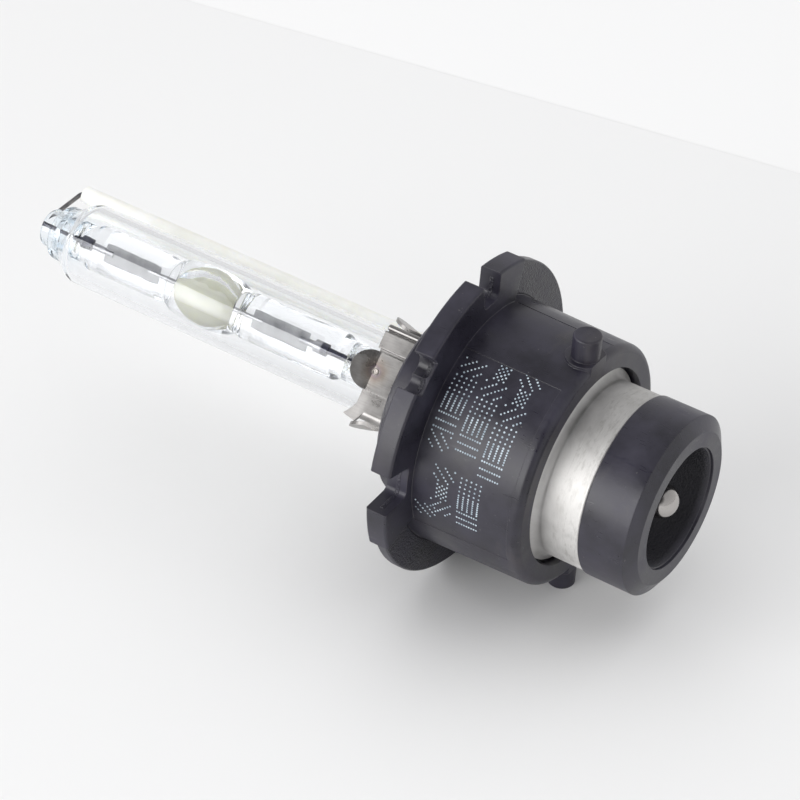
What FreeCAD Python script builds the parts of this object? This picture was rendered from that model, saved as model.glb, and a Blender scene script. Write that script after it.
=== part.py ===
import FreeCAD, Part
import math
import os

# Xenon discharge headlight bulb with a plastic bayonet base.
# Frame: +X runs along the bulb's axis towards the rear contact, so the glass points to -X.
# +Z passes through one of the two bayonet pins.  The origin is on the axis, in the plane of
# the base's front collar, which is the bulb's reference plane.  All lengths are in millimetres.
# An angle about the axis is counted from +Y towards +Z.

V = FreeCAD.Vector
AXIS = V(1, 0, 0)
ORIGIN = V(0, 0, 0)
CLEAR = 0.01                      # assembly clearance between neighbours that touch

# ---- driving dimensions -------------------------------------------------------------------
light_centre = -27.1              # middle of the discharge, in front of the reference plane
electrode_gap = 4.2

# glass
glass_tip = -47.9                 # open end of the quartz tube
bulb_r = 4.36                     # outer bulb, outside
bulb_wall = 0.8
tube_r = 2.05                     # quartz tube beyond the pinch seals
tube_bore = 1.35
stem_r = 2.45                     # pinch-sealed stems
chamber_r = 3.2                   # swelling of the arc tube, outside
chamber_half = 4.1
cavity_r = 1.95
cavity_half = 3.45

# wires inside the arc tube
electrode_r = 0.15
foil_length = 6.8
foil_width = 1.5
foil_thick = 0.06
lead_r = 0.22
lead_collar_r = 0.4

# return conductor and its ceramic sleeve, beside the outer bulb
return_angle = 2.7
return_offset = 6.58
return_r = 0.23
return_front = -48.95             # the wire's radial run, in front of the tube
sleeve_r = 0.95
sleeve_front = -48.45
sleeve_rear = 8.6

# metal holder of the glass
holder_angle = 47.7               # middle of the first tab; the others follow at quarter turns
sheet = 0.42                      # sheet thickness of clamp and ring
clamp_front = -5.0
clamp_rear = -0.5
clamp_bend = 0.75                 # outside radius of the clamp's corners
tab_width = 4.0
tab_front = -6.7
tab_flare = 0.7
ring_front = 0.13                 # front of the ring's flat plate
ring_outer = 8.5

# plastic base
collar_r = 10.0
flange_front = 3.85
flange_thin = 5.1                 # rear of the thin part of the flange
flange_thick = 6.1                # rear of the thick part of the flange
flange_r = 16.4
rim_r = 17.2                      # outer radius of the thick part
keyways = ((87.2, 97.0, 14.3), (167.9, 182.3, 13.7))   # from, to, floor radius
mark_notch = (126.9, 139.3)       # notch that marks the front, between these angles
body_r_front = 12.8
body_r_rear = 12.55
body_rear = 17.8
body_edge = 0.75                  # rounding of the body's rear edge
recess_r = 10.3
pin_x = 16.35                     # bayonet pins
pin_r = 1.4
pin_tip = 15.2
pin_pad = (2.0, 12.72)            # radius and height of the pad at a pin's foot
pin_angles = (90.0, 270.0)
panel_angles = (112.0, 200.0)     # shallow panel that carries the print
panel_depth = 0.05

# contacts
ring_r = 9.12
ring_wall = 0.5
ring_seat = 16.5                  # front of the ring's small foot
ring_end = 22.3
nose_r = 9.28
nose_end = 28.1
nose_chamfer = (0.84, 1.4)        # along and across the axis
bowl_r = 6.3
bowl_floor = 22.9
contact_r = 1.75
contact_tip = 27.75


# ---- helpers ------------------------------------------------------------------------------
def radial(angle, r, x=0.0):
    """Point at radius r and the given angle about the axis."""
    a = math.radians(angle)
    return V(x, r * math.cos(a), r * math.sin(a))


def outline(steps):
    """Closed wire in the X-Z half plane from (x, r) points.

    A step is a point for a straight edge, ("arc", through, end) for an arc, or
    ("curve", points) for a smooth curve from the last point through the given ones."""
    def lift(p):
        return V(p[0], 0, p[1])

    here = steps[0]
    edges = []
    for step in list(steps[1:]) + [steps[0]]:
        if step[0] == "arc":
            edges.append(Part.Arc(lift(here), lift(step[1]), lift(step[2])).toShape())
            here = step[2]
        elif step[0] == "curve":
            curve = Part.BSplineCurve()
            curve.interpolate([lift(here)] + [lift(p) for p in step[1]])
            edges.append(curve.toShape())
            here = step[1][-1]
        elif step != here:
            edges.append(Part.makeLine(lift(here), lift(step)))
            here = step
    return Part.Wire(edges)


def lathe(steps, start=0.0, sweep=360.0):
    """Solid of revolution about the axis, from angle start through sweep degrees."""
    solid = Part.Face(outline(steps)).revolve(ORIGIN, AXIS, sweep)
    solid.rotate(ORIGIN, AXIS, start - 90.0)
    return solid


def block(x0, x1, r0, r1, a0, a1):
    """Ring sector between two planes, two radii and two angles."""
    return lathe([(x0, r0), (x1, r0), (x1, r1), (x0, r1)], a0, a1 - a0)


def rod(x0, x1, r, angle=0.0, offset=0.0):
    """Round bar parallel to the axis."""
    return Part.makeCylinder(r, x1 - x0, radial(angle, offset, x0), AXIS)


def wire(points, r, bend):
    """Round wire through the points, with each inner corner bent to the given radius."""
    edges = []
    here = points[0]
    for before, corner, after in zip(points, points[1:], points[2:]):
        inward = (before - corner).normalize()
        outward = (after - corner).normalize()
        half = inward.getAngle(outward) / 2
        reach = bend / math.tan(half)
        first = corner + inward * reach
        last = corner + outward * reach
        middle = (inward + outward).normalize()
        crown = corner + middle * (bend / math.sin(half) - bend)
        edges.append(Part.makeLine(here, first))
        edges.append(Part.Arc(first, crown, last).toShape())
        here = last
    edges.append(Part.makeLine(here, points[-1]))
    section = Part.Wire([Part.makeCircle(r, points[0], points[1] - points[0])])
    return Part.Wire(edges).makePipeShell([section], True, True)


def ellipse_arc(half, height, base, a0, a1, count):
    """Points (x, r) on an ellipse about the light centre, standing on radius base."""
    points = []
    for i in range(count + 1):
        a = math.radians(a0 + (a1 - a0) * i / count)
        points.append((light_centre - half * math.cos(a), base + (height - base) * math.sin(a)))
    return points


def minus(shape, *tools):
    return shape.cut(list(tools)).removeSplitter()


# ---- glass --------------------------------------------------------------------------------
def dome(end, turn):
    """Outside of the outer bulb's closed end, from the quartz tube out to the bulb's radius.

    end is where the glass leaves the tube, and turn is +1 for the tip and -1 for the base."""
    shape = [(0.0, tube_r + CLEAR), (0.35, 2.45), (0.8, 2.82), (1.3, 2.97), (1.85, 3.1),
             (2.5, 3.5), (3.2, 4.05), (3.8, 4.3), (4.3, bulb_r)]
    return [(end + turn * x, r) for x, r in shape]


def make_outer_bulb():
    tip = glass_tip + 1.5
    base = 2.0
    inner = bulb_r - bulb_wall
    front = dome(tip, 1)
    rear = dome(base, -1)
    return lathe([
        front[0],
        ("curve", front[1:]),
        rear[-1],
        ("curve", rear[-2::-1]),
        (base - 1.1, tube_r + CLEAR),
        ("curve", [(base - 1.6, 2.3), (base - 3.2, 3.1), (base - 4.6, inner)]),
        (tip + 4.6, inner),
        ("curve", [(tip + 3.2, 3.1), (tip + 1.6, 2.3), (tip + 1.1, tube_r + CLEAR)]),
    ])


def arc_tube_outside():
    """Outline of the arc tube from the tip to the far end in the base, at its outer surface."""
    pinch_tip = light_centre - 14.6
    pinch_base = light_centre + 16.9
    swell = ellipse_arc(chamber_half, chamber_r, 2.2, 8, 172, 8)
    return [
        (glass_tip, tube_r),
        (pinch_tip - 1.2, tube_r),
        ("curve", [(pinch_tip - 0.5, 2.2), (pinch_tip + 0.3, stem_r)]),
        (light_centre - 5.4, stem_r),
        ("curve", [(light_centre - 4.6, 2.38)] + swell + [(light_centre + 4.6, 2.38),
                                                         (light_centre + 5.4, stem_r)]),
        (pinch_base - 0.7, stem_r),
        ("curve", [(pinch_base - 0.2, 2.25), (pinch_base + 0.3, tube_r)]),
        (12.0, tube_r),
    ]


def make_arc_tube():
    bore_tip = light_centre - 16.3
    bore_base = light_centre + 17.5
    body = lathe(arc_tube_outside() + [
        (12.0, tube_bore),
        (bore_base + 0.6, tube_bore),
        ("curve", [(bore_base + 0.2, 0.9), (bore_base, 0.0)]),
        (bore_tip, 0.0),
        ("curve", [(bore_tip - 0.2, 0.9), (bore_tip - 0.6, tube_bore)]),
        (glass_tip, tube_bore),
    ])
    return minus(body, make_cavity(), tip_electrode(), base_electrode(), tip_foil(), base_foil(),
                 tip_lead(), base_lead())


def make_cavity(gap=0.0):
    """Discharge space, or with a gap a smaller body that stays clear of its wall."""
    half = cavity_half - gap
    high = cavity_r - gap
    points = ellipse_arc(half, high, 0.0, 0, 180, 12)
    return lathe([(light_centre - half, 0.0), ("curve", points[1:-1] + [(light_centre + half, 0.0)])])


# ---- conductors in the arc tube -----------------------------------------------------------
def tip_electrode():
    tip = light_centre - electrode_gap / 2
    return rod(tip - 5.1, tip, electrode_r)


def base_electrode():
    tip = light_centre + electrode_gap / 2
    return rod(tip, tip + 5.1, electrode_r)


def foil(x0):
    """Thin sealing foil on the axis, turned to lie oblique to the pins' plane."""
    strip = Part.makeBox(foil_length, foil_width, foil_thick,
                         V(x0, -foil_width / 2, -foil_thick / 2))
    strip.rotate(ORIGIN, AXIS, holder_angle + 35.0)
    return strip


def tip_foil():
    strip = foil(light_centre - 6.0 - foil_length)
    return minus(strip, tip_electrode(), tip_lead())


def base_foil():
    strip = foil(light_centre + 6.0)
    return minus(strip, base_electrode(), base_lead())


def tip_lead():
    """Lead from the foil out through the open tube, bent over to meet the return wire."""
    path = [V(light_centre - 11.8, 0, 0), V(return_front, 0, 0),
            radial(return_angle, 1.7, return_front)]
    collar = rod(light_centre - 16.0, light_centre - 14.5, lead_collar_r)
    return wire(path, lead_r, 0.55).fuse(collar).removeSplitter()


def base_lead():
    """Lead from the foil to the centre contact."""
    straight = rod(light_centre + 11.8, 21.5, lead_r)
    collar = rod(light_centre + 13.6, light_centre + 15.2, lead_collar_r)
    return straight.fuse(collar).removeSplitter()


def make_salt_deposit():
    """Metal-halide salt: a thin skin over the wall of the discharge space, open at the top."""
    skin = make_cavity(0.03).cut(make_cavity(0.12))
    top = Part.makeBox(9, 9, 9, V(light_centre - 4.5, -4.5, 1.25))
    wires = rod(light_centre - 4.0, light_centre + 4.0, electrode_r + 0.05)
    return minus(skin, top, wires)


def make_mercury_bead():
    """Condensed mercury, lying on the salt at the bottom of the discharge space."""
    return Part.makeSphere(0.28, V(light_centre + 1.0, 0.0, -1.42))


# ---- return conductor ---------------------------------------------------------------------
def make_return_wire():
    """From the end of the tip lead, back through the sleeve, to the wall of the contact ring."""
    wall = ring_r - ring_wall - return_r - 0.02
    return wire([
        radial(return_angle, 1.7 + CLEAR, return_front),
        radial(return_angle, return_offset, return_front),
        radial(return_angle, return_offset, 10.5),
        radial(return_angle, wall, 12.4),
        radial(return_angle, wall, 14.2),
    ], return_r, 0.5)


def make_ceramic_sleeve():
    sleeve = rod(sleeve_front, sleeve_rear, sleeve_r, return_angle, return_offset)
    bore = rod(sleeve_front, sleeve_rear, return_r + 0.12, return_angle, return_offset)
    return minus(sleeve, bore)


# ---- metal holder -------------------------------------------------------------------------
def square_prism(half, corner, x0, x1):
    """Square bar with rounded edges, its flats facing the four tabs."""
    bar = Part.makeBox(x1 - x0, 2 * half, 2 * half, V(x0, -half, -half))
    along = [e for e in bar.Edges if abs(e.tangentAt(e.FirstParameter).x) > 0.9]
    bar = bar.makeFillet(corner, along)
    bar.rotate(ORIGIN, AXIS, holder_angle)
    return bar


def make_clamp_band():
    """Sheet-metal square round the glass, open where the return conductor passes."""
    inner = bulb_r + CLEAR
    outer = inner + sheet
    tube = square_prism(outer, clamp_bend, clamp_front, clamp_rear).cut(
        square_prism(inner, clamp_bend - sheet, clamp_front - 1, clamp_rear + 1))
    passage = rod(clamp_front - 1, clamp_rear + 1, sleeve_r + 0.35, return_angle, return_offset)
    band = tube.fuse([clamp_ear(inner), clamp_lap(outer), clamp_hem(outer)])
    return minus(band, passage)


def clamp_ear(inner):
    """Pointed end of the strip, standing forward beside the lower tab."""
    tip = V(clamp_front - 0.95, -4.9, inner)
    top = V(clamp_front + 0.15, -2.9, inner)
    low = V(clamp_front + 0.5, -5.2, inner)
    back = V(clamp_front + 1.2, -4.0, inner)
    waist = V(clamp_front - 0.2, -3.9, inner)
    edges = [Part.Arc(top, waist, tip).toShape(), Part.makeLine(tip, low),
             Part.makeLine(low, back), Part.makeLine(back, top)]
    ear = Part.Face(Part.Wire(edges)).extrude(V(0, 0, sheet))
    ear.rotate(ORIGIN, AXIS, holder_angle)
    return ear


def clamp_lap(outer):
    """Overlapping end of the strip, beside the upper edge of the front tab."""
    lap = Part.makeBox(clamp_rear - clamp_front + 0.2, 1.8, 0.35,
                       V(clamp_front - 0.2, tab_width / 2 + 0.3, outer - 0.1))
    ends = [e for e in lap.Edges if abs(e.tangentAt(e.FirstParameter).x) > 0.9
            and e.CenterOfMass.z > outer]
    lap = lap.makeFillet(0.1, ends)
    lap.rotate(ORIGIN, AXIS, holder_angle)
    return lap


def clamp_hem(outer):
    """Rolled edge that closes the strip above the lap."""
    hem = Part.makeCylinder(0.32, clamp_rear - clamp_front + 0.2,
                            V(clamp_front - 0.2, outer - 0.25, outer - 0.08), AXIS)
    front = [e for e in hem.Edges if abs(e.CenterOfMass.x - clamp_front + 0.2) < 0.01]
    hem = hem.makeFillet(0.2, front)
    hem.rotate(ORIGIN, AXIS, holder_angle)
    return hem


def tab(angle):
    """One welding tab: from the flat plate it bends forward, lies on the clamp, then flares."""
    low = bulb_r + 2 * CLEAR + sheet
    high = low + sheet
    bend = 1.4
    root = ring_front - bend
    knee = tab_front + 2.2
    rise = tab_flare
    diagonal = math.sqrt(0.5)
    side = Part.Face(outline([
        (tab_front, low + rise),
        (knee, low),
        (root, low),
        ("arc", (root + (bend + sheet) * diagonal, high + bend - (bend + sheet) * diagonal),
         (ring_front + sheet, high + bend)),
        (ring_front, high + bend),
        ("arc", (root + bend * diagonal, high + bend - bend * diagonal), (root, high)),
        (knee - 0.05, high),
        (tab_front - 0.1, high + rise),
    ]))
    half = tab_width / 2
    side.translate(V(0, -half, 0))
    strip = side.extrude(V(0, tab_width, 0))
    front = tab_front - 0.1 + half
    plan = Part.makeCylinder(half, 12, V(front, 0, 0)).fuse(
        Part.makeBox(12, tab_width, 12, V(front, -half, 0)))
    strip = strip.common(plan)
    strip.rotate(ORIGIN, AXIS, angle - 90.0)
    return strip


def make_holder_ring():
    """Flat steel ring in the base's front, with four tabs for the clamp."""
    bend_end = bulb_r + 2 * CLEAR + 2 * sheet + 1.4
    ring = rod(ring_front, ring_front + sheet, ring_outer)
    ring = ring.cut(rod(ring_front - 1, ring_front + 1, bend_end - 0.1))
    ring = ring.fuse([tab(holder_angle + 90.0 * i) for i in range(4)])
    passage = rod(-1, 2, sleeve_r + 0.1, return_angle, return_offset)
    return minus(ring, passage)


# ---- plastic base -------------------------------------------------------------------------
def make_base_housing():
    pocket = ring_front + sheet
    edge = 0.22
    shell = lathe([
        (pocket, 3.4),
        (pocket, ring_outer + 0.05),
        (0, ring_outer + 0.05),
        (0, collar_r - 0.3),
        (0.3, collar_r),
        (flange_front, collar_r),
        (flange_front, flange_r - edge),
        ("arc", (flange_front + 0.3 * edge, flange_r - 0.3 * edge), (flange_front + edge, flange_r)),
        (flange_thin - edge, flange_r),
        ("arc", (flange_thin - 0.3 * edge, flange_r - 0.3 * edge), (flange_thin, flange_r - edge)),
        (flange_thin, body_r_front + 0.02),
        (body_rear - body_edge, body_r_rear),
        ("arc", (body_rear - 0.3 * body_edge, body_r_rear - 0.3 * body_edge),
         (body_rear, body_r_rear - body_edge)),
        (body_rear, recess_r),
        (ring_seat, recess_r),
        (ring_seat, ring_r),
        (9.0, ring_r),
        (9.0, 8.0),
        (7.0, 8.0),
        (7.0, 3.4),
    ])
    shell = shell.fuse([rim_segment(72.0, 198.2)] + [bayonet_pin(a) for a in pin_angles])
    sleeve_hole = rod(-1, 8, sleeve_r + 0.05, return_angle, return_offset)
    return minus(shell, sleeve_hole, *flange_gaps(), *parting_lines(), print_panel())


def rim_segment(a0, a1):
    """Thick part of the flange."""
    edge = 0.25
    return lathe([
        (flange_front, body_r_front - 1),
        (flange_front, rim_r - edge),
        ("arc", (flange_front + 0.3 * edge, rim_r - 0.3 * edge), (flange_front + edge, rim_r)),
        (flange_thick - edge, rim_r),
        ("arc", (flange_thick - 0.3 * edge, rim_r - 0.3 * edge), (flange_thick, rim_r - edge)),
        (flange_thick, body_r_front - 1),
    ], a0, a1 - a0)


def flange_gaps():
    """Two keying gaps of different width, and the notch that marks the front."""
    x0 = flange_front - 1
    x1 = flange_thick + 1
    top = rim_r + 1
    cuts = []
    for a0, a1, floor in keyways:
        gap = block(x0, x1, floor, top, a0, a1)
        corners = [e for e in gap.Edges if abs(e.tangentAt(e.FirstParameter).x) > 0.9
                   and math.hypot(e.CenterOfMass.y, e.CenterOfMass.z) < floor + 0.01]
        cuts.append(gap.makeFillet(0.6, corners))
    return cuts + [mark_cut(x0, x1, top)]


def mark_cut(x0, x1, top):
    """Notch with two scooped hollows and a rib between them, open to the front."""
    a0, a1 = mark_notch
    scoop_r = 1.05
    scoop_end = flange_thick - scoop_r - 0.1
    cut = block(x0, x1, rim_r - 1.25, top, a0, a1)
    for angle in (a0 + 3.3, a1 - 3.3):
        centre = radial(angle, rim_r - 1.3)
        scoop = rod(x0, scoop_end, scoop_r, angle, rim_r - 1.3)
        ball = Part.makeSphere(scoop_r, V(scoop_end, centre.y, centre.z))
        cut = cut.fuse([scoop, ball])
    return cut


def parting_lines():
    """Mould seam along the body, on both sides."""
    return [block(flange_thick + 0.3, 17.2, body_r_rear - 0.02, body_r_front + 1, a, a + 0.7)
            for a in (71.6, 251.6)]


def print_panel():
    """Slightly sunk field on the body's side."""
    a0, a1 = panel_angles
    x0 = flange_thick
    x1 = body_rear - 1.2
    depth = panel_depth
    return lathe([(x0, body_r_front - depth), (x1, body_r_rear + 0.02 - depth),
                  (x1, body_r_front + 1), (x0, body_r_front + 1)], a0, a1 - a0)


def bayonet_pin(angle):
    """Round pin on a low flat pad, moulded on the body."""
    foot = radial(angle, body_r_rear - 0.8, pin_x)
    out = radial(angle, 1.0)
    height = pin_tip - body_r_rear + 0.8
    pin = Part.makeCylinder(pin_r, height, foot, out)
    rim = [e for e in pin.Edges if len(e.Vertexes) == 1 and
           abs(e.CenterOfMass.sub(foot).Length - height) < 0.01]
    pad_r, pad_top = pin_pad
    pad = Part.makeCylinder(pad_r, pad_top - body_r_rear + 0.8, foot, out)
    pad = pad.common(rod(pin_x - pad_r, body_rear, rim_r))
    return pin.makeFillet(0.2, rim).fuse(pad)


# ---- contacts -----------------------------------------------------------------------------
def make_contact_ring():
    """Outer contact: a drawn steel sleeve with a small foot where it leaves the base."""
    inner = ring_r - ring_wall
    foot = recess_r - 0.3
    return lathe([
        (9.0 + CLEAR, inner),
        (ring_end, inner),
        (ring_end, ring_r - 0.05),
        (ring_end - 0.1, ring_r),
        (ring_seat + 1.8, ring_r),
        ("arc", (ring_seat + 0.86, ring_r + 0.25), (ring_seat + 0.45, foot)),
        (ring_seat + 0.05, foot),
        (ring_seat, foot - 0.05),
        (ring_seat, ring_r - CLEAR),
        (9.0 + CLEAR, ring_r - CLEAR),
    ])


def make_nose_insulator():
    """Plastic nose that carries the centre contact in a bowl."""
    along, across = nose_chamfer
    spigot = ring_r - ring_wall - CLEAR
    return lathe([
        (14.6, 3.4),
        (14.6, spigot),
        (ring_end + CLEAR, spigot),
        (ring_end + CLEAR, nose_r - 0.15),
        (ring_end + 0.15, nose_r),
        (nose_end - along, nose_r),
        (nose_end, nose_r - across),
        (nose_end, bowl_r),
        (nose_end - 0.3, bowl_r - 0.05),
        (nose_end - 0.3, bowl_r - 0.12),
        ("curve", [(nose_end - 1.6, bowl_r - 0.7), (nose_end - 3.6, 4.3), (bowl_floor + 0.3, 2.8),
                   (bowl_floor, 2.2)]),
        (bowl_floor, contact_r + CLEAR),
        (19.6, contact_r + CLEAR),
        (19.6, 3.4),
    ])


def make_centre_contact():
    """Solid pin with a domed head; the base lead ends in its blind hole."""
    centre = contact_tip - contact_r
    diagonal = contact_r * math.sqrt(0.5)
    return lathe([
        (19.8, lead_r + 0.03),
        (19.8, contact_r - 0.2),
        (20.0, contact_r),
        (centre, contact_r),
        ("arc", (centre + diagonal, diagonal), (contact_tip, 0)),
        (21.6, 0),
        (21.6, lead_r + 0.03),
    ])


def make_hv_insulator():
    """Insulating tube round the end of the arc tube and the base lead."""
    outer = 3.4 - CLEAR
    inner = tube_r + 0.1
    return lathe([(2.4, inner), (19.6 - CLEAR, inner), (19.6 - CLEAR, outer), (2.4, outer)])


# ---- assembly -----------------------------------------------------------------------------
nodes = {
    "outer_bulb": make_outer_bulb,
    "arc_tube": make_arc_tube,
    "tip_electrode": tip_electrode,
    "base_electrode": base_electrode,
    "tip_foil": tip_foil,
    "base_foil": base_foil,
    "tip_lead": tip_lead,
    "base_lead": base_lead,
    "salt_deposit": make_salt_deposit,
    "mercury_bead": make_mercury_bead,
    "return_wire": make_return_wire,
    "ceramic_sleeve": make_ceramic_sleeve,
    "clamp_band": make_clamp_band,
    "holder_ring": make_holder_ring,
    "base_housing": make_base_housing,
    "contact_ring": make_contact_ring,
    "nose_insulator": make_nose_insulator,
    "centre_contact": make_centre_contact,
    "hv_insulator": make_hv_insulator,
}

os.makedirs("parts", exist_ok=True)
for name, make in nodes.items():
    make().exportStep("parts/%s.step" % name)
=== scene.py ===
import math
import random

import bmesh
import bpy
from mathutils import Matrix, Vector, noise


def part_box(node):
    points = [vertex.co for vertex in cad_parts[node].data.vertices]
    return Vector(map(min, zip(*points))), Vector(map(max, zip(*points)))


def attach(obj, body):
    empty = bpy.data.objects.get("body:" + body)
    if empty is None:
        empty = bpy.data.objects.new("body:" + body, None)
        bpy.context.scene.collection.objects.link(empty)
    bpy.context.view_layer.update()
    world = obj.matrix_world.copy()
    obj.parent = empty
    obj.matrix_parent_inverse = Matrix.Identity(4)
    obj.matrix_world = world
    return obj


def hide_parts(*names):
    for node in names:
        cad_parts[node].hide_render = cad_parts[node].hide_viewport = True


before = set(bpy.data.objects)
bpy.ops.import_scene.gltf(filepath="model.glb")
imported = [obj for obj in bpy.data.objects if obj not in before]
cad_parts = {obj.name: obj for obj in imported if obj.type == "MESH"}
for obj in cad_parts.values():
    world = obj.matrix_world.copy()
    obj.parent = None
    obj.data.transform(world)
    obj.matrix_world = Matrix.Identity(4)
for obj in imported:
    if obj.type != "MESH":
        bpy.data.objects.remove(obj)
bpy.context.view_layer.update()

MM = 0.001
AXIS_STEPS = 160                  # segments round a lathed piece
random.seed(11)

# ---- places taken from the frame, in millimetres --------------------------------------------


def span(node):
    """Lowest and highest corner of a CAD node in millimetres."""
    low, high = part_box(node)
    return low / MM, high / MM


TUBE = span("arc_tube")
BULB = span("outer_bulb")
SALT = span("salt_deposit")
TIP_FOIL = span("tip_foil")
BASE_FOIL = span("base_foil")
HOLDER = span("holder_ring")
TIP_POLE = span("tip_electrode")
BASE_POLE = span("base_electrode")

LIGHT_CENTRE = (TIP_POLE[1].x + BASE_POLE[0].x) / 2
TUBE_TIP = TUBE[0].x
TUBE_END = TUBE[1].x
CHAMBER_R = TUBE[1].z
BULB_R = BULB[1].z
NOSE_BOWL_R = 6.22
RING_FOOT = 18.0                  # where the contact ring's wall meets its foot
SPARK_FACE = (4.9, 5.3, 12.9, 16.35)   # x from, x to, radius from, radius to of the flange face
HOLDER_ANGLE = 47.7               # first of the four tabs, counted from +Y towards +Z
TAB_LIFT = 0.86                   # from the outer bulb to the top of a tab
WELD_BACK = 2.5                   # from a tab's front edge to its weld
WELD_R = 0.38
STRIP_BEND = -4.4                 # behind this x the strip's face turns away from the side light


def polar(angle, r, x):
    """Point in metres at x, radius r and an angle about the axis, from millimetres."""
    a = math.radians(angle)
    return Vector((x, r * math.cos(a), r * math.sin(a))) * MM


# ---- material graphs ------------------------------------------------------------------------


class Graph:
    """A material's node tree with short calls for the nodes used here."""

    def __init__(self, name):
        self.material = bpy.data.materials.new(name)
        self.material.use_nodes = True
        self.tree = self.material.node_tree
        self.tree.nodes.clear()

    def node(self, kind, inputs=None, **settings):
        made = self.tree.nodes.new("ShaderNode" + kind)
        for key, value in settings.items():
            setattr(made, key, value)
        for key, value in (inputs or {}).items():
            self.put(made.inputs[key], value)
        return made

    def put(self, socket, value):
        if isinstance(value, bpy.types.NodeSocket):
            self.tree.links.new(value, socket)
        elif isinstance(value, (tuple, list)) and socket.type == "RGBA":
            socket.default_value = tuple(value)[:3] + (1.0,)
        else:
            socket.default_value = value

    def place(self):
        return self.node("TexCoord").outputs["Object"]

    def stretch(self, vector, scale):
        return self.node("VectorMath", {0: vector, 1: scale}, operation="MULTIPLY").outputs[0]

    def noise(self, vector, scale, detail=3.0, rough=0.55, distortion=0.0):
        inputs = {"Vector": vector, "Scale": scale, "Detail": detail, "Roughness": rough,
                  "Distortion": distortion}
        return self.node("TexNoise", inputs).outputs["Fac"]

    def math(self, operation, a, b=0.0):
        return self.node("Math", {0: a, 1: b}, operation=operation).outputs[0]

    def fit(self, value, low, high, to_low=0.0, to_high=1.0):
        """Maps value from low..high to to_low..to_high, held at the ends."""
        inputs = {"Value": value, "From Min": low, "From Max": high, "To Min": to_low,
                  "To Max": to_high}
        return self.node("MapRange", inputs).outputs[0]

    def mix(self, share, a, b):
        made = self.node("Mix", data_type="RGBA")
        self.put(made.inputs[0], share)
        self.put(made.inputs[6], a)
        self.put(made.inputs[7], b)
        return made.outputs[2]

    def parts(self, vector):
        return self.node("SeparateXYZ", {0: vector}).outputs

    def distance(self, vector, point):
        made = self.node("VectorMath", {0: vector, 1: tuple(point)}, operation="DISTANCE")
        return made.outputs["Value"]

    def round_axis(self, vector):
        """Vector (x, unit y, unit z): the same on every radius, so a pattern wraps the axis."""
        x, y, z = self.parts(vector)
        flat = self.node("CombineXYZ", {1: y, 2: z}).outputs[0]
        unit = self.node("VectorMath", {0: flat}, operation="NORMALIZE").outputs[0]
        only_x = self.node("CombineXYZ", {0: x}).outputs[0]
        return self.node("VectorMath", {0: unit, 1: only_x}, operation="ADD").outputs[0]

    def radius(self, vector):
        x, y, z = self.parts(vector)
        flat = self.node("CombineXYZ", {1: y, 2: z}).outputs[0]
        return self.node("VectorMath", {0: flat}, operation="LENGTH").outputs["Value"]

    def bump(self, height, depth_mm, normal=None):
        inputs = {"Height": height, "Strength": 1.0, "Distance": depth_mm * MM}
        if normal is not None:
            inputs["Normal"] = normal
        return self.node("Bump", inputs).outputs[0]

    def soft_edges(self, radius_mm):
        return self.node("Bevel", {"Radius": radius_mm * MM}, samples=6).outputs[0]

    def edge_share(self, soft):
        """0 on a face and up to 1 on a convex or concave edge."""
        true = self.node("NewGeometry").outputs["Normal"]
        made = self.node("VectorMath", {0: soft, 1: true}, operation="DOT_PRODUCT")
        return self.fit(made.outputs["Value"], 1.0, 0.8)

    def finish(self, shader, volume=None):
        out = self.node("OutputMaterial", {"Surface": shader})
        if volume is not None:
            self.put(out.inputs["Volume"], volume)
        return self.material


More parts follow.
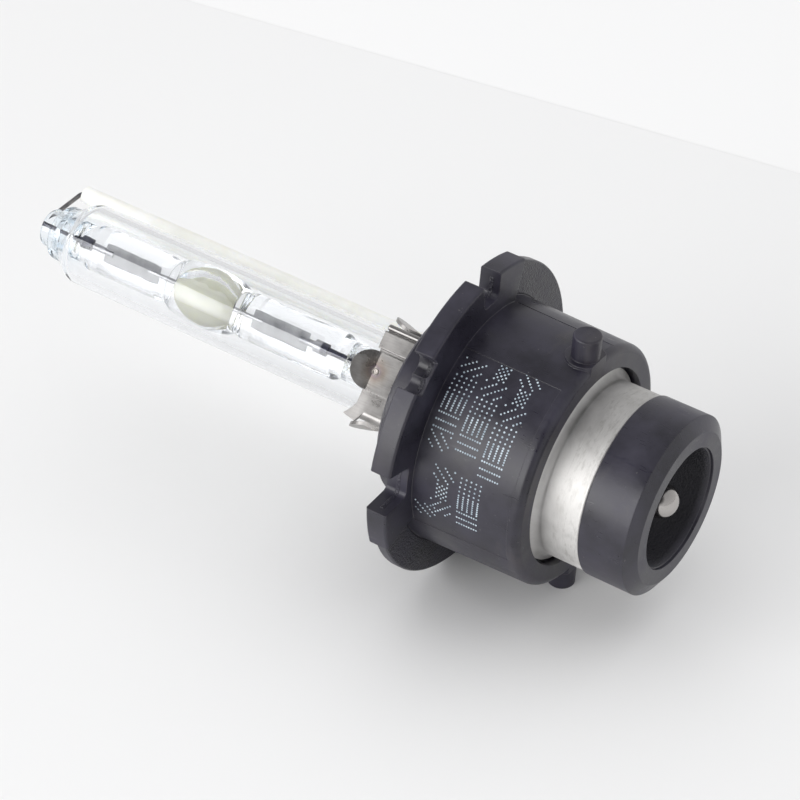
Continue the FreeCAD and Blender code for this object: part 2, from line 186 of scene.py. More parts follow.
def moulded_plastic(name, dark, light, roughness, grain_mm, rough_face=None, bowl_r=None):
    """Moulded black plastic: soft clouds, scuffs, fine grain, and edges painted lighter, partly
    as wear and partly as a painted highlight.

    rough_face is (x from, x to, radius from, radius to) in mm of a spark-eroded zone.
    Inside bowl_r the surface is duller and coarser, and its colour is painted darker as shade in
    the recess."""
    g = Graph(name)
    at = g.place()
    soft = g.soft_edges(0.14)
    edge = g.edge_share(soft)
    cloud = g.noise(at, 190.0, 4.0, 0.6)
    smear = g.noise(g.stretch(g.round_axis(at), (260.0, 1.4, 1.4)), 1.0, 3.0, 0.6, 0.6)
    colour = g.mix(g.fit(cloud, 0.35, 0.68), dark, light)
    colour = g.mix(g.fit(smear, 0.6, 0.72, 0.0, 0.4), colour, (0.055, 0.049, 0.050))
    # edges and corners painted lighter: partly wear, partly a painted highlight
    colour = g.mix(g.math("MULTIPLY", edge, 0.4), colour, (0.075, 0.070, 0.080))
    speck = g.noise(at, 2600.0, 1.0, 0.4)
    colour = g.mix(g.fit(speck, 0.76, 0.82, 0.0, 0.4), colour, (0.16, 0.15, 0.15))
    grain = g.noise(at, 1.0 / (grain_mm * MM), 2.0, 0.5)
    ripple = g.noise(at, 420.0, 2.0, 0.5)
    normal = g.bump(grain, 0.006, soft)
    normal = g.bump(ripple, 0.02, normal)
    if rough_face:
        x_from, x_to, r_from, r_to = rough_face
        x = g.parts(at)[0]
        zone = g.math("MULTIPLY", g.fit(x, x_from * MM, (x_from + 0.05) * MM),
                      g.fit(x, (x_to + 0.05) * MM, x_to * MM))
        r = g.radius(at)
        zone = g.math("MULTIPLY", zone, g.fit(r, r_from * MM, (r_from + 0.1) * MM))
        zone = g.math("MULTIPLY", zone, g.fit(r, r_to * MM, (r_to - 0.1) * MM))
        erosion = g.math("MULTIPLY", g.noise(at, 4600.0, 2.0, 0.6), zone)
        normal = g.bump(erosion, 0.16, normal)
    rough = g.fit(cloud, 0.3, 0.7, roughness - 0.09, roughness + 0.11)
    specular = 0.58
    if bowl_r:
        inside = g.fit(g.radius(at), bowl_r * MM, (bowl_r - 0.3) * MM)
        # painted shade: the colour inside the bowl is darkened to stand in for the shade in the
        # recess
        colour = g.mix(g.math("MULTIPLY", inside, 0.75), colour, (0.004, 0.004, 0.006))
        coarse = g.math("MULTIPLY", g.noise(at, 5200.0, 2.0, 0.6), inside)
        normal = g.bump(coarse, 0.13, normal)
        rough = g.math("ADD", rough, g.math("MULTIPLY", inside, 0.08))
        specular = g.fit(inside, 0.0, 1.0, 0.62, 0.36)
    scratch = g.noise(g.stretch(at, (900.0, 9000.0, 5200.0)), 0.35, 2.0, 0.5, 1.5)
    rough = g.math("SUBTRACT", rough, g.fit(scratch, 0.62, 0.7, 0.0, 0.12))
    shader = g.node("BsdfPrincipled", {
        "Base Color": colour, "Roughness": rough, "IOR": 1.5, "Normal": normal,
        "Specular IOR Level": specular})
    return g.finish(shader.outputs[0])


def turned_steel(name):
    """Satin stainless steel with fine lines round the axis and cloudy handling marks."""
    g = Graph(name)
    at = g.place()
    wrapped = g.round_axis(at)
    lines = g.noise(g.stretch(wrapped, (14000.0, 3.0, 3.0)), 1.0, 4.0, 0.7)
    bands = g.noise(g.stretch(wrapped, (2200.0, 7.0, 7.0)), 1.0, 4.0, 0.65)
    on_wall = g.fit(g.parts(at)[0], (RING_FOOT + 0.2) * MM, (RING_FOOT + 1.6) * MM)
    lines = g.math("MULTIPLY", lines, on_wall)
    bands = g.math("MULTIPLY", bands, on_wall)
    clouds = g.noise(g.stretch(wrapped, (420.0, 3.2, 3.2)), 1.0, 4.0, 0.6, 0.5)
    colour = g.mix(g.fit(clouds, 0.35, 0.65), (0.62, 0.61, 0.595), (0.75, 0.74, 0.725))
    streak = g.fit(bands, 0.5, 0.68, 0.0, 0.55)
    colour = g.mix(streak, colour, (0.44, 0.43, 0.41))
    colour = g.mix(g.fit(lines, 0.5, 0.75, 0.0, 0.4), colour, (0.46, 0.45, 0.44))
    rough = g.fit(clouds, 0.3, 0.7, 0.52, 0.64)
    normal = g.bump(lines, 0.005)
    normal = g.bump(bands, 0.008, normal)
    shader = g.node("BsdfPrincipled", {
        "Base Color": colour, "Metallic": 1.0, "Roughness": rough, "Anisotropic": 0.35,
        "Normal": normal})
    tangent = g.node("Tangent", direction_type="RADIAL", axis="X")
    g.put(shader.inputs["Tangent"], tangent.outputs[0])
    return g.finish(shader.outputs[0])


def strip_steel(name, welds):
    """Rolled strip steel with lines along the axis and a straw-to-violet tint at each weld."""
    g = Graph(name)
    at = g.place()
    lines = g.noise(g.stretch(at, (500.0, 7000.0, 7000.0)), 1.0, 4.0, 0.65)
    clouds = g.noise(at, 520.0, 3.0, 0.6)
    colour = g.mix(g.fit(clouds, 0.35, 0.65), (0.27, 0.26, 0.254), (0.38, 0.368, 0.36))
    near = None
    for point in welds:
        away = g.distance(at, point)
        near = away if near is None else g.math("MINIMUM", near, away)
    wobble = g.math("MULTIPLY", g.math("SUBTRACT", clouds, 0.5), 0.9 * MM)
    near = g.math("ADD", near, wobble)
    colour = g.mix(g.fit(near, 1.8 * MM, 1.1 * MM, 0.0, 0.45), colour, (0.36, 0.31, 0.26))
    colour = g.mix(g.fit(near, 1.2 * MM, 0.75 * MM, 0.0, 0.6), colour, (0.25, 0.19, 0.165))
    colour = g.mix(g.fit(near, 0.75 * MM, 0.5 * MM, 0.0, 0.5), colour, (0.20, 0.16, 0.22))
    colour = g.mix(g.fit(near, 0.5 * MM, 0.4 * MM), colour, (0.46, 0.42, 0.39))
    colour = g.mix(g.fit(lines, 0.45, 0.7, 0.0, 0.35), colour, (0.20, 0.19, 0.185))
    behind_bend = g.math("SUBTRACT", g.math("DIVIDE", g.parts(at)[0], MM), STRIP_BEND)
    fall = g.math("POWER", g.math("MAXIMUM", behind_bend, 0.0), 1.6)
    fall = g.math("MULTIPLY", fall, -1.0)
    normal = g.bump(fall, 0.05, g.soft_edges(0.05))
    normal = g.bump(lines, 0.006, normal)
    shader = g.node("BsdfPrincipled", {
        "Base Color": colour, "Metallic": 1.0, "Roughness": g.fit(clouds, 0.3, 0.7, 0.24, 0.36),
        "Normal": normal})
    return g.finish(shader.outputs[0])


def drawn_metal(name, dark, light, roughness, scale=700.0, painted_shade_from=None):
    """Wire or foil: drawing lines along the axis and patches of oxide.

    Further than the given distance from the light centre the metal is painted nearly black, as
    painted shade on the lead's bend."""
    g = Graph(name)
    at = g.place()
    patches = g.noise(at, scale, 4.0, 0.6)
    lines = g.noise(g.stretch(at, (400.0, 14000.0, 14000.0)), 1.0, 2.0, 0.6)
    colour = g.mix(g.fit(patches, 0.35, 0.65), dark, light)
    if painted_shade_from:
        away = g.math("ABSOLUTE", g.math("SUBTRACT", g.parts(at)[0], LIGHT_CENTRE * MM))
        # painted shade: the lead is darkened far from the light centre to stand in for the shade
        # at its bend
        painted_lead_shade = g.fit(away, painted_shade_from * MM, (painted_shade_from + 0.2) * MM)
        colour = g.mix(painted_lead_shade, colour, (0.05, 0.05, 0.07))
    normal = g.bump(lines, 0.004)
    normal = g.bump(patches, 0.012, normal)
    shader = g.node("BsdfPrincipled", {
        "Base Color": colour, "Metallic": 1.0, "Roughness": roughness, "Normal": normal})
    return g.finish(shader.outputs[0])


def polished_metal(name, tint, roughness):
    """Bright metal with a light haze and tiny pits."""
    g = Graph(name)
    at = g.place()
    pits = g.noise(at, 2400.0, 2.0, 0.5)
    haze = g.noise(at, 600.0, 3.0, 0.6)
    shader = g.node("BsdfPrincipled", {
        "Base Color": tint, "Metallic": 1.0,
        "Roughness": g.fit(haze, 0.3, 0.7, roughness, roughness + 0.12),
        "Normal": g.bump(pits, 0.004)})
    return g.finish(shader.outputs[0])


def clear_quartz(name):
    """Clear fused quartz with flow lines where the sealed stems were worked.

    Shadow rays lose light only at the outer skin, so the glass throws a faint shadow and the
    pieces inside stay bright."""
    g = Graph(name)
    at = g.place()
    x = g.parts(at)[0]
    streaks = g.noise(g.stretch(at, (150.0, 900.0, 900.0)), 1.0, 2.0, 0.5, 0.8)
    ripples = g.noise(at, 330.0, 2.0, 0.5)
    worked = g.fit(g.radius(at), (BULB_R - 1.0) * MM, (BULB_R - 1.3) * MM)
    worked = g.math("MULTIPLY", worked, g.fit(x, (NECK_X + 3.0) * MM, (NECK_X + 6.0) * MM))
    normal = g.bump(g.math("MULTIPLY", streaks, worked), 0.02)
    normal = g.bump(ripples, 0.001, normal)
    tip = g.fit(x, (NECK_X + 3.6) * MM, (NECK_X + 0.6) * MM)
    glass = g.node("BsdfGlass", {
        "Color": g.mix(tip, (0.993, 0.996, 1.0), (0.965, 0.985, 1.0)), "Roughness": 0.0,
        "IOR": 1.459, "Normal": normal})
    outer_skin = g.fit(g.radius(at), (BULB_R - 0.12) * MM, (BULB_R - 0.06) * MM)
    loss = g.mix(outer_skin, (0.98, 0.98, 0.98), (0.60, 0.61, 0.61))
    clear = g.node("BsdfTransparent", {"Color": loss})
    shadow = g.node("LightPath").outputs["Is Shadow Ray"]
    both = g.node("MixShader", {0: shadow, 1: glass.outputs[0], 2: clear.outputs[0]})
    tint = g.node("VolumeAbsorption", {"Color": (0.72, 0.86, 1.0), "Density": 3.0})
    return g.finish(both.outputs[0], tint.outputs[0])


def salt_skin(name):
    """Pale yellow-green halide salt, thin enough to let light through in places."""
    g = Graph(name)
    at = g.place()
    patches = g.noise(at, 620.0, 4.0, 0.62)
    crystals = g.noise(at, 5200.0, 2.0, 0.6)
    colour = g.mix(g.fit(patches, 0.35, 0.62), (0.95, 0.95, 0.80), (0.985, 0.98, 0.90))
    body = g.node("BsdfPrincipled", {
        "Base Color": colour, "Roughness": 0.55, "Subsurface Weight": 0.6,
        "Subsurface Radius": (0.9 * MM, 0.9 * MM, 0.5 * MM), "Subsurface Scale": 1.0,
        "Normal": g.bump(crystals, 0.02)})
    through = g.node("BsdfTranslucent", {"Color": (0.985, 0.98, 0.86)})
    mixed = g.node("MixShader", {0: g.fit(patches, 0.3, 0.7, 0.4, 0.7),
                                 1: body.outputs[0], 2: through.outputs[0]})
    return g.finish(mixed.outputs[0])


def unglazed_ceramic(name):
    """Alumina tube: warm white, slightly translucent, with fine extrusion lines."""
    g = Graph(name)
    at = g.place()
    patches = g.noise(at, 260.0, 3.0, 0.6)
    grain = g.noise(g.stretch(at, (900.0, 9000.0, 9000.0)), 1.0, 2.0, 0.6)
    colour = g.mix(g.fit(patches, 0.35, 0.65), (0.86, 0.855, 0.80), (0.94, 0.935, 0.90))
    shader = g.node("BsdfPrincipled", {
        "Base Color": colour, "Roughness": 0.5, "Subsurface Weight": 0.35,
        "Subsurface Radius": (0.8 * MM, 0.7 * MM, 0.5 * MM), "Subsurface Scale": 1.0,
        "Normal": g.bump(grain, 0.006)})
    return g.finish(shader.outputs[0])


def marking_ink(name):
    """Pale laser-etched dots: uneven in brightness from dot to dot."""
    g = Graph(name)
    at = g.place()
    uneven = g.noise(at, 900.0, 2.0, 0.5)
    colour = g.mix(g.fit(uneven, 0.35, 0.65), (0.30, 0.37, 0.43), (0.56, 0.65, 0.72))
    shader = g.node("BsdfPrincipled", {"Base Color": colour, "Roughness": 0.7})
    return g.finish(shader.outputs[0])


def studio_sheet(name, colour):
    """Matt sheet with a barely visible paper tooth."""
    g = Graph(name)
    at = g.place()
    tooth = g.noise(at, 900.0, 2.0, 0.5)
    shader = g.node("BsdfPrincipled", {
        "Base Color": colour, "Roughness": 0.85, "Specular IOR Level": 0.2,
        "Normal": g.bump(tooth, 0.01)})
    return g.finish(shader.outputs[0])


# ---- mesh helpers ---------------------------------------------------------------------------


def mesh_piece(name, bm, material, nodes, smooth=35.0):
    """Turns a bmesh in millimetres into a piece that rides on the bulb's body.

    With smooth=None the face directions are kept and every edge is smooth."""
    bmesh.ops.scale(bm, vec=(MM, MM, MM), verts=bm.verts)
    if smooth is not None:
        bmesh.ops.recalc_face_normals(bm, faces=bm.faces)
    mesh = bpy.data.meshes.new(name)
    bm.to_mesh(mesh)
    bm.free()
    piece = bpy.data.objects.new(name, mesh)
    bpy.context.scene.collection.objects.link(piece)
    mesh.materials.append(material)
    mesh.shade_smooth()
    if smooth is not None:
        mesh.set_sharp_from_angle(angle=math.radians(smooth))
    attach(piece, "root")
    if nodes:
        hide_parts(*nodes)


def rounded(corners, steps=8):
    """Profile through (x, r, radius) corners, each corner rounded with an arc of its radius."""
    points = []
    for i, (x, r, radius) in enumerate(corners):
        here = Vector((x, r))
        if not radius or i in (0, len(corners) - 1):
            points.append(here)
            continue
        before = (Vector(corners[i - 1][:2]) - here)
        after = (Vector(corners[i + 1][:2]) - here)
        half = before.angle(after) / 2
        reach = min(radius / math.tan(half), before.length * 0.49, after.length * 0.49)
        size = reach * math.tan(half)
        middle = (before.normalized() + after.normalized()).normalized()
        centre = here + middle * (size / math.sin(half))
        start = here + before.normalized() * reach - centre
        end = here + after.normalized() * reach - centre
        sweep = start.angle_signed(end)
        for k in range(steps + 1):
            turn = -sweep * k / steps
            points.append(centre + Matrix.Rotation(turn, 2) @ start)
    return points


def spin(bm, profile, closed=False, wobble=None):
    """Skins a profile of (x, r) points round the axis. wobble(x, r, angle) adds to the radius."""
    rings = []
    for x, r in profile:
        if r < 1e-6:
            rings.append([bm.verts.new((x, 0.0, 0.0))])
            continue
        ring = []
        for k in range(AXIS_STEPS):
            a = 2 * math.pi * k / AXIS_STEPS
            size = r + (wobble(x, r, a) if wobble else 0.0)
            ring.append(bm.verts.new((x, size * math.cos(a), size * math.sin(a))))
        rings.append(ring)
    pairs = list(zip(rings, rings[1:]))
    if closed:
        pairs.append((rings[-1], rings[0]))
    for low, high in pairs:
        for k in range(AXIS_STEPS):
            n = (k + 1) % AXIS_STEPS
            if len(low) == 1 and len(high) == 1:
                continue
            if len(low) == 1:
                bm.faces.new((low[0], high[k], high[n]))
            elif len(high) == 1:
                bm.faces.new((low[k], high[0], low[n]))
            else:
                bm.faces.new((low[k], high[k], high[n], low[n]))


def resample(points, step):
    """The same polyline with no stretch longer than step."""
    out = [points[0]]
    for a, b in zip(points, points[1:]):
        count = max(1, math.ceil((b - a).length / step))
        out += [a.lerp(b, k / count) for k in range(1, count + 1)]
    return out


# ---- glass ----------------------------------------------------------------------------------

NECK_X = TUBE_TIP + 1.6           # where the outer bulb leaves the quartz tube
NECK_R = 2.93
TUBE_R = 2.05
BORE_R = 1.35
STEM_R = 2.45
WALL = 0.8
TIP_BORE_END = 16.3               # from the light centre to the end of the tip-side bore
BASE_BORE_END = 17.5
TIP_PINCH = 14.6                  # from the light centre to the end of the tip-side stem
BASE_PINCH = 16.9
SWELL_HALF = 4.1                  # half the length of the chamber's outer swell
SWELL_FOOT_R = 2.2
STEM_START = 5.3                  # from the light centre to the start of each stem
SALT_IN_GLASS = 0.03              # the salt skin is bonded this deep into the wall
CAVITY_HALF = (SALT[1].x - SALT[0].x) / 2 - SALT_IN_GLASS
CAVITY_R = SALT[1].y - SALT_IN_GLASS
SALT_REACH = 158.0                # degrees that the skin climbs on each side from the bottom
FOIL_WIDTH = 1.5
FOIL_TURN = HOLDER_ANGLE + 35.0


def stem_wobble(x, r, a):
    """The sealed stems are drawn down unevenly: faint flutes that wander along the stem."""
    if r > STEM_R + 0.01:
        return 0.0
    away = abs(x - LIGHT_CENTRE)
    on_stem = min(1.0, max(0.0, (away - 4.6) / 1.5))
    flutes = noise.noise(Vector((x * 0.16, math.cos(a) * 1.6, math.sin(a) * 1.6)))
    return 0.03 * on_stem * flutes


def fused_glass(material):
    """Arc tube and outer bulb, fused at both necks, with their three enclosed spaces."""
    bulb_tip = [(NECK_X - 0.25, TUBE_R, 0.35), (NECK_X + 0.15, NECK_R, 0.45),
                (NECK_X + 1.55, NECK_R + 0.06, 0.5), (NECK_X + 3.4, BULB_R, 1.6)]
    rear = BULB[1].x
    bulb_rear = [(rear - 4.1, BULB_R, 1.6), (rear - 1.6, NECK_R, 0.8), (rear, TUBE_R, 0.3)]
    bore_tip = LIGHT_CENTRE - TIP_BORE_END
    bore_base = LIGHT_CENTRE + BASE_BORE_END
    outside = [
        (bore_tip, 0.0, 0), (bore_tip, BORE_R, 0.7), (TUBE_TIP, BORE_R, 0.3),
        (TUBE_TIP, TUBE_R, 0.34)] + bulb_tip + bulb_rear + [
        (TUBE_END, TUBE_R, 0.2), (TUBE_END, BORE_R, 0.2), (bore_base, BORE_R, 0.7),
        (bore_base, 0.0, 0)]
    bm = bmesh.new()
    spin(bm, resample(rounded(outside, 12), 1.2))
    spin(bm, resample(annular_space(), 0.4), closed=True, wobble=stem_wobble)
    spin(bm, discharge_space())
    orient_glass(bm)
    mesh_piece("fused_glass", bm, material, ["outer_bulb", "arc_tube"],
               smooth=None)


def annular_space():
    """Closed profile of the space between the outer bulb and the arc tube."""
    inner = BULB_R - WALL
    tip = NECK_X + 0.55
    rear = BULB[1].x - 1.3
    pinch_tip = LIGHT_CENTRE - TIP_PINCH
    pinch_base = LIGHT_CENTRE + BASE_PINCH
    swell = []
    for k in range(25):
        a = math.pi * (k / 24)
        r = SWELL_FOOT_R + (CHAMBER_R - SWELL_FOOT_R) * math.sin(a)
        swell.append((LIGHT_CENTRE - SWELL_HALF * math.cos(a), r, 0))
    profile = [
        (tip, TUBE_R + 0.05, 0.1), (tip + 0.15, NECK_R - 0.5, 0.15),
        (tip + 1.3, NECK_R - 0.4, 0.5), (tip + 3.1, inner, 1.2), (rear - 2.4, inner, 1.2),
        (rear, TUBE_R + 0.05, 0.3), (pinch_base + 0.35, TUBE_R, 0.3),
        (pinch_base - 0.35, STEM_R, 0.4), (LIGHT_CENTRE + STEM_START, STEM_R, 0.5)]
    profile += swell[::-1]
    profile += [(LIGHT_CENTRE - STEM_START, STEM_R, 0.5), (pinch_tip + 0.35, STEM_R, 0.4),
                (pinch_tip - 0.6, TUBE_R, 0.4), (tip, TUBE_R + 0.05, 0)]
    return rounded(profile)[:-1]


def discharge_space():
    """Profile of the closed space round the arc."""
    points = []
    for k in range(41):
        a = math.pi * k / 40
        points.append((LIGHT_CENTRE - CAVITY_HALF * math.cos(a), CAVITY_R * math.sin(a)))
    points[0] = (points[0][0], 0.0)
    points[-1] = (points[-1][0], 0.0)
    return [Vector(p) for p in points]


def orient_glass(bm):
    """Outer skin faces out, and each enclosed space faces into itself."""
    bmesh.ops.recalc_face_normals(bm, faces=bm.faces)
    seen = set()
    shells = []
    bm.faces.index_update()
    for face in bm.faces:
        if face in seen:
            continue
        stack, shell = [face], []
        seen.add(face)
        while stack:
            f = stack.pop()
            shell.append(f)
            for e in f.edges:
                for other in e.link_faces:
                    if other not in seen:
                        seen.add(other)
                        stack.append(other)
        shells.append(shell)
    shells.sort(key=lambda s: -len({v for f in s for v in f.verts}))
    for shell in shells:
        reach = max(v.co.yz.length for f in shell for v in f.verts)
        volume = sum(f.calc_center_median().dot(f.normal) * f.calc_area() for f in shell) / 3
        outermost = reach > BULB_R - 0.1
        if (volume > 0) != outermost:
            bmesh.ops.reverse_faces(bm, faces=shell)


# ---- pieces inside the glass ----------------------------------------------------------------


def foil(name, node, box, material):
    """Sealing foil: thin, feathered at its long edges and slightly crinkled."""
    low, high = box
    across = FOIL_WIDTH / 2
    turn = Matrix.Rotation(math.radians(FOIL_TURN), 3, "X")
    count_x, count_w = 60, 8
    bm = bmesh.new()
    rows = {}
    for side in (1, -1):
        for i in range(count_x + 1):
            x = low.x + (high.x - low.x) * i / count_x
            for j in range(count_w + 1):
                w = -across + 2 * across * j / count_w
                end = min(1.0, 6.0 * min(i, count_x - i) / count_x + 0.35)
                half = 0.03 * (1 - (w / across) ** 2) + 0.004
                wave = 0.05 * noise.noise(Vector((x * 1.1, w * 0.9, 3.0)))
                y = w * (0.9 + 0.1 * end)
                rows[side, i, j] = bm.verts.new(turn @ Vector((x, y, wave + side * half)))
    for side in (1, -1):
        for i in range(count_x):
            for j in range(count_w):
                quad = [rows[side, i, j], rows[side, i + 1, j], rows[side, i + 1, j + 1],
                        rows[side, i, j + 1]]
                bm.faces.new(quad if side > 0 else quad[::-1])
    for i in range(count_x):
        for j in (0, count_w):
            bm.faces.new((rows[1, i, j], rows[-1, i, j], rows[-1, i + 1, j], rows[1, i + 1, j]))
    for j in range(count_w):
        for i in (0, count_x):
            bm.faces.new((rows[1, i, j], rows[1, i, j + 1], rows[-1, i, j + 1], rows[-1, i, j]))
    mesh_piece(name, bm, material, [node])


def salt(material):
    """Salt skin on the wall of the discharge space, with a ragged upper edge."""
    bm = bmesh.new()
    steps_x, steps_a = 64, 96
    grid = {}
    for layer, gap in ((0, -SALT_IN_GLASS), (1, 0.06)):
        for i in range(steps_x + 1):
            t = math.pi * (0.06 + 0.88 * i / steps_x)
            x = LIGHT_CENTRE - (CAVITY_HALF - gap) * math.cos(t)
            r = (CAVITY_R - gap) * math.sin(t)
            for j in range(steps_a + 1):
                ragged = 12.0 * noise.noise(Vector((x * 0.9, 4.0 if j else 7.0, 1.0)))
                reach = SALT_REACH + ragged
                a = math.radians(-90.0 + reach * (2 * j / steps_a - 1))
                grid[layer, i, j] = bm.verts.new((x, r * math.cos(a), r * math.sin(a)))
    for layer in (0, 1):
        for i in range(steps_x):
            for j in range(steps_a):
                quad = [grid[layer, i, j], grid[layer, i + 1, j], grid[layer, i + 1, j + 1],
                        grid[layer, i, j + 1]]
                bm.faces.new(quad)
    for i in range(steps_x):
        for j in (0, steps_a):
            bm.faces.new((grid[0, i, j], grid[0, i + 1, j], grid[1, i + 1, j], grid[1, i, j]))
    for j in range(steps_a):
        for i in (0, steps_x):
            bm.faces.new((grid[0, i, j], grid[1, i, j], grid[1, i, j + 1], grid[0, i, j + 1]))
    mesh_piece("salt_skin", bm, material, ["salt_deposit"])


# ---- welds and print ------------------------------------------------------------------------


def weld_nugget(name, at, outward, material):
    """Resistance weld: a shallow dished spot with a raised, uneven rim."""
    turn = outward.to_track_quat("Z", "Y").to_matrix()
    rings, sides = 9, 28
    bm = bmesh.new()
    top = bm.verts.new(at + turn @ Vector((0, 0, -0.02)))
    last = [top]
    for i in range(1, rings + 1):
        share = i / rings
        row = []
        for k in range(sides):
            a = 2 * math.pi * k / sides
            spot = Vector((math.cos(a) * share, math.sin(a) * share, at.x))
            rough = noise.noise(spot * 2.7) * 0.05 + noise.noise(spot * 7.0) * 0.03
            rim = math.exp(-((share - 0.8) / 0.16) ** 2) * 0.09
            height = rim + rough * (1 - share ** 3) - 0.03 * share ** 6
            r = WELD_R * share
            row.append(bm.verts.new(at + turn @ Vector((r * math.cos(a), r * math.sin(a),
                                                         height))))
        for k in range(sides):
            n = (k + 1) % sides
            if len(last) == 1:
                bm.faces.new((last[0], row[k], row[n]))
            else:
                bm.faces.new((last[k], row[k], row[n], last[n]))
        last = row
    foot = [bm.verts.new(v.co - outward * 0.12) for v in last]
    for k in range(sides):
        n = (k + 1) % sides
        bm.faces.new((last[k], foot[k], foot[n], last[n]))
    bm.faces.new(foot)
    mesh_piece(name, bm, material, [], smooth=50.0)


DOT_COLUMNS = 7
DOT_ROWS = 9
DOT_R = 0.11
DOT_PITCH_X = 0.265
DOT_PITCH_ANGLE = 1.1             # degrees
FIELD_ANGLE = 8.6                 # degrees from one field of dots to the next
PANEL_FRONT = 6.1
PANEL_R = 12.75                   # at PANEL_FRONT
PANEL_TAPER = 0.0219              # loss of radius for each millimetre to the rear
DOT_PATTERNS = (                  # each tells whether column i, row j of a 7 by 9 field is marked
    lambda i, j: (i + j) % 4 == 0,
    lambda i, j: i % 2 == 0 and j % 2 == 0,
    lambda i, j: j % 2 == 0,
    lambda i, j: i % 3 == 0,
    lambda i, j: (i - j) % 4 == 0,
    lambda i, j: (i + j) % 2 == 0 and 1 < j < 7,
)


def print_dots(material):
    """Rows of small raised dots in abstract patterns on the body's panel."""
    rows = (                      # x of the row's middle, first angle, cells
        (7.9, 116.0, 5), (10.8, 113.0, 5), (13.7, 111.0, 6),
        (9.3, 164.0, 3), (12.2, 165.0, 3), (7.6, 186.0, 1))
    bm = bmesh.new()
    pattern = 0
    for middle, first, cells in rows:
        for cell in range(cells):
            shape = DOT_PATTERNS[pattern % len(DOT_PATTERNS)]
            pattern += 1
            for i in range(DOT_COLUMNS):
                for j in range(DOT_ROWS):
                    if not shape(i, j):
                        continue
                    angle = first + cell * FIELD_ANGLE + i * DOT_PITCH_ANGLE
                    x = middle + (j - 4) * DOT_PITCH_X
                    add_dot(bm, angle, x)
    mesh_piece("print_dots", bm, material, [], smooth=40.0)


def body_radius(x):
    """Radius of the base's sunk print panel at x."""
    return PANEL_R - (x - PANEL_FRONT) * PANEL_TAPER


def add_dot(bm, angle, x):
    """Adds one flat-topped dot that stands 0.012 mm proud of the panel."""
    size = DOT_R + random.uniform(-0.012, 0.012)
    r = body_radius(x)
    spread = math.degrees(size / r)
    low = []
    high = []
    sides = 10
    for k in range(sides):
        a = 2 * math.pi * k / sides
        low.append(bm.verts.new(polar(angle + spread * math.sin(a), r - 0.03,
                                      x + size * math.cos(a)) / MM))
        high.append(bm.verts.new(polar(angle + spread * 0.8 * math.sin(a), r + 0.012,
                                       x + size * 0.8 * math.cos(a)) / MM))
    for k in range(sides):
        n = (k + 1) % sides
        bm.faces.new((low[k], low[n], high[n], high[k]))
    bm.faces.new(high)
    bm.faces.new(low[::-1])


# ---- CAD nodes that stay --------------------------------------------------------------------


def dress(node, material):
    """Gives a CAD node its material."""
    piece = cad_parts[node]
    piece.data.materials.clear()
    piece.data.materials.append(material)


# ---- studio ---------------------------------------------------------------------------------

REST_X = 5.1                      # the flange's rear edge touches the floor here
REST_Z = -16.42
FLOOR_TILT = -6.1                 # the bulb leans on its flange and on the lower bayonet pin
SHEET_EDGE_Y = 82.8               # where the white sheet behind the bulb begins
ROOM_LIGHT = 0.91
DARK_SIDE = (0.0, -0.74, 0.673)    # direction of the dark wall behind the camera


def flat_sheet(name, centre, size, material):
    """Rectangle of size (metres) that lies along the tilt of the floor."""
    mesh = bpy.data.meshes.new(name)
    bm = bmesh.new()
    bmesh.ops.create_grid(bm, x_segments=4, y_segments=4, size=0.5)
    for v in bm.verts:
        v.co.x *= size[0]
        v.co.y *= size[1]
    bm.to_mesh(mesh)
    bm.free()
    sheet = bpy.data.objects.new(name, mesh)
    bpy.context.scene.collection.objects.link(sheet)
    mesh.materials.append(material)
    sheet.location = centre
    sheet.rotation_euler = (0.0, math.radians(FLOOR_TILT), 0.0)


def soft_light(name, direction, distance, size, power):
    """White softbox that faces the bulb from the given direction."""
    data = bpy.data.lights.new(name, "AREA")
    data.shape = "RECTANGLE"
    data.size, data.size_y = size
    data.energy = power
    light = bpy.data.objects.new(name, data)
    bpy.context.scene.collection.objects.link(light)
    way = Vector(direction).normalized()
    light.location = way * distance
    light.rotation_euler = way.to_track_quat("Z", "Y").to_euler()
    return light


def studio():
    floor = studio_sheet("floor_paper", (0.86, 0.86, 0.86))
    wall = studio_sheet("wall_paper", (0.91, 0.91, 0.91))
    rest = Vector((REST_X, 0, REST_Z)) * MM
    flat_sheet("floor", rest, (9.0, 9.0), floor)
    behind = rest + Vector((0, SHEET_EDGE_Y * MM + 2.2, 0.00002))
    flat_sheet("back_sheet", behind, (9.0, 4.4), wall)
    overhead = soft_light("overhead", (0.0, 0.2, 1.0), 0.75, (1.25, 1.25), 3.95)
    overhead.visible_glossy = False
    soft_light("side", (-0.42, -0.9, 0.33), 0.85, (1.1, 0.56), 6.6)
    world = bpy.data.worlds.new("studio")
    bpy.context.scene.world = world
    world.use_nodes = True
    world.node_tree.nodes.clear()
    room(world.node_tree)
    light_paths(bpy.context.scene.cycles)
    bpy.context.scene.view_settings.view_transform = "Standard"


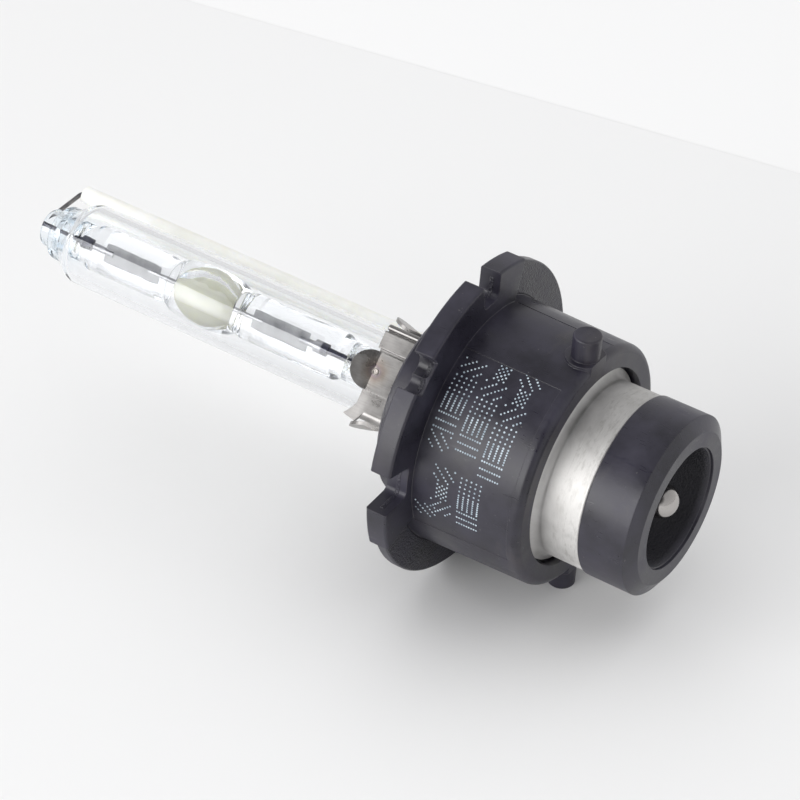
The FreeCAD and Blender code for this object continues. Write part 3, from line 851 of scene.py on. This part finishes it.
def room(tree):
    """Room that is bright at the horizon, with a dark wall behind the camera."""

    def node(kind, **settings):
        made = tree.nodes.new("ShaderNode" + kind)
        for key, value in settings.items():
            setattr(made, key, value)
        return made

    way = node("TexCoord").outputs["Generated"]
    parts = node("SeparateXYZ")
    tree.links.new(way, parts.inputs[0])
    ramp = node("ValToRGB")
    tree.links.new(parts.outputs[2], ramp.inputs[0])
    ends = ramp.color_ramp.elements
    ends[0].position = 0.0
    ends[0].color = (0.84, 0.84, 0.84, 1)
    ends[1].position = 1.0
    ends[1].color = (0.53, 0.53, 0.54, 1)
    facing = node("VectorMath", operation="DOT_PRODUCT")
    tree.links.new(way, facing.inputs[0])
    facing.inputs[1].default_value = DARK_SIDE
    patch = node("MapRange")
    tree.links.new(facing.outputs["Value"], patch.inputs["Value"])
    patch.inputs["From Min"].default_value = 0.74
    patch.inputs["From Max"].default_value = 0.90
    patch.inputs["To Min"].default_value = ROOM_LIGHT
    patch.inputs["To Max"].default_value = 0.12
    back = node("Background")
    tree.links.new(ramp.outputs[0], back.inputs[0])
    tree.links.new(patch.outputs[0], back.inputs[1])
    tree.links.new(back.outputs[0], node("OutputWorld").inputs[0])


def light_paths(cycles):
    """Enough bounces to see through every wall of both glass tubes."""
    cycles.max_bounces = 26
    cycles.glossy_bounces = 12
    cycles.transmission_bounces = 24
    cycles.transparent_max_bounces = 24


# ---- camera ---------------------------------------------------------------------------------

CAMERA_AZIMUTH = 31.57            # from -Y towards +X, in degrees
CAMERA_ELEVATION = 37.78
CAMERA_ROLL = 3.66
CAMERA_DISTANCE = 293.5
CAMERA_TARGET = (-1.95, -2.8, 0.5)
CAMERA_LENS = 135.0


def camera_back():
    """Direction from the bulb to the camera."""
    a = math.radians(CAMERA_AZIMUTH)
    e = math.radians(CAMERA_ELEVATION)
    return Vector((math.sin(a) * math.cos(e), -math.cos(a) * math.cos(e), math.sin(e)))


def camera():
    back = camera_back()
    data = bpy.data.cameras.new("camera")
    data.lens = CAMERA_LENS
    data.clip_start = 0.01
    data.clip_end = 20.0
    made = bpy.data.objects.new("camera", data)
    bpy.context.scene.collection.objects.link(made)
    made.location = (Vector(CAMERA_TARGET) + back * CAMERA_DISTANCE) * MM
    aim = (-back).to_track_quat("-Z", "Y").to_matrix()
    roll = Matrix.Rotation(math.radians(CAMERA_ROLL), 3, back)
    made.rotation_euler = (roll @ aim).to_euler()
    bpy.context.scene.camera = made


# ---- build ----------------------------------------------------------------------------------


def build():
    weld_x = HOLDER[0].x + WELD_BACK
    welds = [polar(HOLDER_ANGLE + 90 * i, BULB_R + TAB_LIFT, weld_x) for i in range(4)]
    glass = clear_quartz("quartz")
    tungsten = drawn_metal("tungsten", (0.36, 0.36, 0.37), (0.52, 0.52, 0.53), 0.4)
    moly = drawn_metal("molybdenum", (0.26, 0.26, 0.28), (0.42, 0.42, 0.44), 0.4,
                       painted_shade_from=14.3)
    foil_metal = drawn_metal("etched_foil", (0.27, 0.27, 0.28), (0.40, 0.40, 0.41), 0.5, 700.0)
    nickel = drawn_metal("nickel_wire", (0.10, 0.10, 0.11), (0.30, 0.29, 0.29), 0.38)
    steel = strip_steel("strip_steel", welds)
    dark, light = (0.0085, 0.0075, 0.0145), (0.031, 0.0285, 0.0455)
    base = moulded_plastic("base_plastic", dark, light, 0.38, 0.16, rough_face=SPARK_FACE)
    nose = moulded_plastic("nose_plastic", dark, light, 0.37, 0.14, bowl_r=NOSE_BOWL_R)
    inner = moulded_plastic("insulator_plastic", (0.05, 0.045, 0.045), (0.08, 0.07, 0.07), 0.5,
                            0.2)

    fused_glass(glass)
    foil("tip_foil_strip", "tip_foil", TIP_FOIL, foil_metal)
    foil("base_foil_strip", "base_foil", BASE_FOIL, foil_metal)
    salt(salt_skin("halide_salt"))
    for i, point in enumerate(welds):
        outward = polar(HOLDER_ANGLE + 90 * i, 1.0, 0.0).normalized()
        weld_nugget("tab_weld_%d" % (i + 1), point / MM, outward, steel)
    print_dots(marking_ink("marking_ink"))

    dress("tip_electrode", tungsten)
    dress("base_electrode", tungsten)
    dress("tip_lead", moly)
    dress("base_lead", moly)
    dress("mercury_bead", polished_metal("mercury", (0.72, 0.72, 0.74), 0.04))
    dress("return_wire", nickel)
    dress("ceramic_sleeve", unglazed_ceramic("alumina"))
    dress("clamp_band", steel)
    dress("holder_ring", steel)
    dress("base_housing", base)
    dress("contact_ring", turned_steel("turned_steel"))
    dress("nose_insulator", nose)
    dress("centre_contact", polished_metal("plated_contact", (0.46, 0.44, 0.425), 0.10))
    dress("hv_insulator", inner)


build()
studio()
camera()
